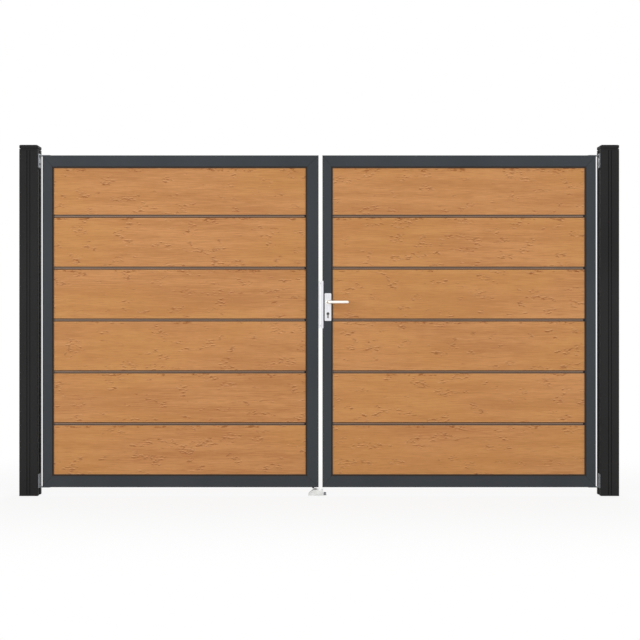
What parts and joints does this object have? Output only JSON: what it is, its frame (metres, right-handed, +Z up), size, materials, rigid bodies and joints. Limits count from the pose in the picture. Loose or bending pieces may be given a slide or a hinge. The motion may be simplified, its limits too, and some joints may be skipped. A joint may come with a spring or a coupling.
{
  "type": "double gate",
  "caption": "Double drive gate with horizontal wood-look composite boards in dark aluminium frames, hung between slotted posts, with a lever lock, a drop bolt and a floor stop.",
  "frame": {"origin": "centre of the left post's foot, on its flat underside", "axes": "+X from the left post to the right post, +Y towards the side the leaves open to, away from the side shown, +Z up"},
  "size_m": [3.245, 0.181, 1.9],
  "materials": {
    "post_paint": "matt powder coat",
    "frame_paint": "matt powder coat, anthracite",
    "board": "wood-look composite with fine grain along the board",
    "strip": "satin brown",
    "stainless": "satin brushed",
    "hinge_steel": "dull zinc",
    "nickel": "dark satin nickel",
    "cast_metal": "matt cast",
    "rubber": "matt"
  },
  "bodies": {
    "posts": {"left_post": "post_paint", "right_post": "post_paint", "left_post_cap": "post_paint", "right_post_cap": "post_paint", "left_top_hinge": "hinge_steel", "left_bottom_hinge": "hinge_steel", "right_top_hinge": "hinge_steel", "right_bottom_hinge": "hinge_steel", "floor_stop": "cast_metal"},
    "left_leaf": {"left_top_rail": "frame_paint", "left_bottom_rail": "frame_paint", "left_hinge_stile": "frame_paint", "left_lock_stile": "frame_paint", "left_pivot_blocks": "frame_paint", "left_board_1": "board", "left_board_2": "board", "left_board_3": "board", "left_board_4": "board", "left_board_5": "board", "left_board_6": "board", "left_joint_strips": "strip", "lock_keep": "stainless", "drop_bolt_guides": "stainless", "leaf_buffer": "rubber"},
    "right_leaf": {"right_top_rail": "frame_paint", "right_bottom_rail": "frame_paint", "right_lock_stile": "frame_paint", "right_hinge_stile": "frame_paint", "right_pivot_blocks": "frame_paint", "right_board_1": "board", "right_board_2": "board", "right_board_3": "board", "right_board_4": "board", "right_board_5": "board", "right_board_6": "board", "right_joint_strips": "strip", "lock_faceplate": "stainless", "lock_bolts": "stainless", "front_escutcheon": "stainless", "back_escutcheon": "stainless", "lock_cylinder": "nickel"},
    "lever_handle": {"front_lever": "stainless", "back_lever": "stainless", "lever_spindle": "stainless"},
    "drop_bolt": {"drop_bolt_rod": "stainless"}
  },
  "joints": [
    {"name": "left_swing", "type": "hinge", "parent": "posts", "child": "left_leaf", "pos_m": [0.1, -0.01, 0.945], "axis": [0, 0, 1], "range_deg": [0, 95]},
    {"name": "right_swing", "type": "hinge", "parent": "posts", "child": "right_leaf", "pos_m": [3.045, -0.01, 0.945], "axis": [0, 0, -1], "range_deg": [0, 95]},
    {"name": "lever_turn", "type": "hinge", "parent": "right_leaf", "child": "lever_handle", "pos_m": [1.62, -0.01, 1.049], "axis": [0, 1, 0], "range_deg": [0, 40], "stiffness_Nm_per_rad": 0.6},
    {"name": "drop_bolt_slide", "type": "slide", "parent": "left_leaf", "child": "drop_bolt", "axis": [0, 0, 1], "range_m": [-0.03, 0]}
  ]
}
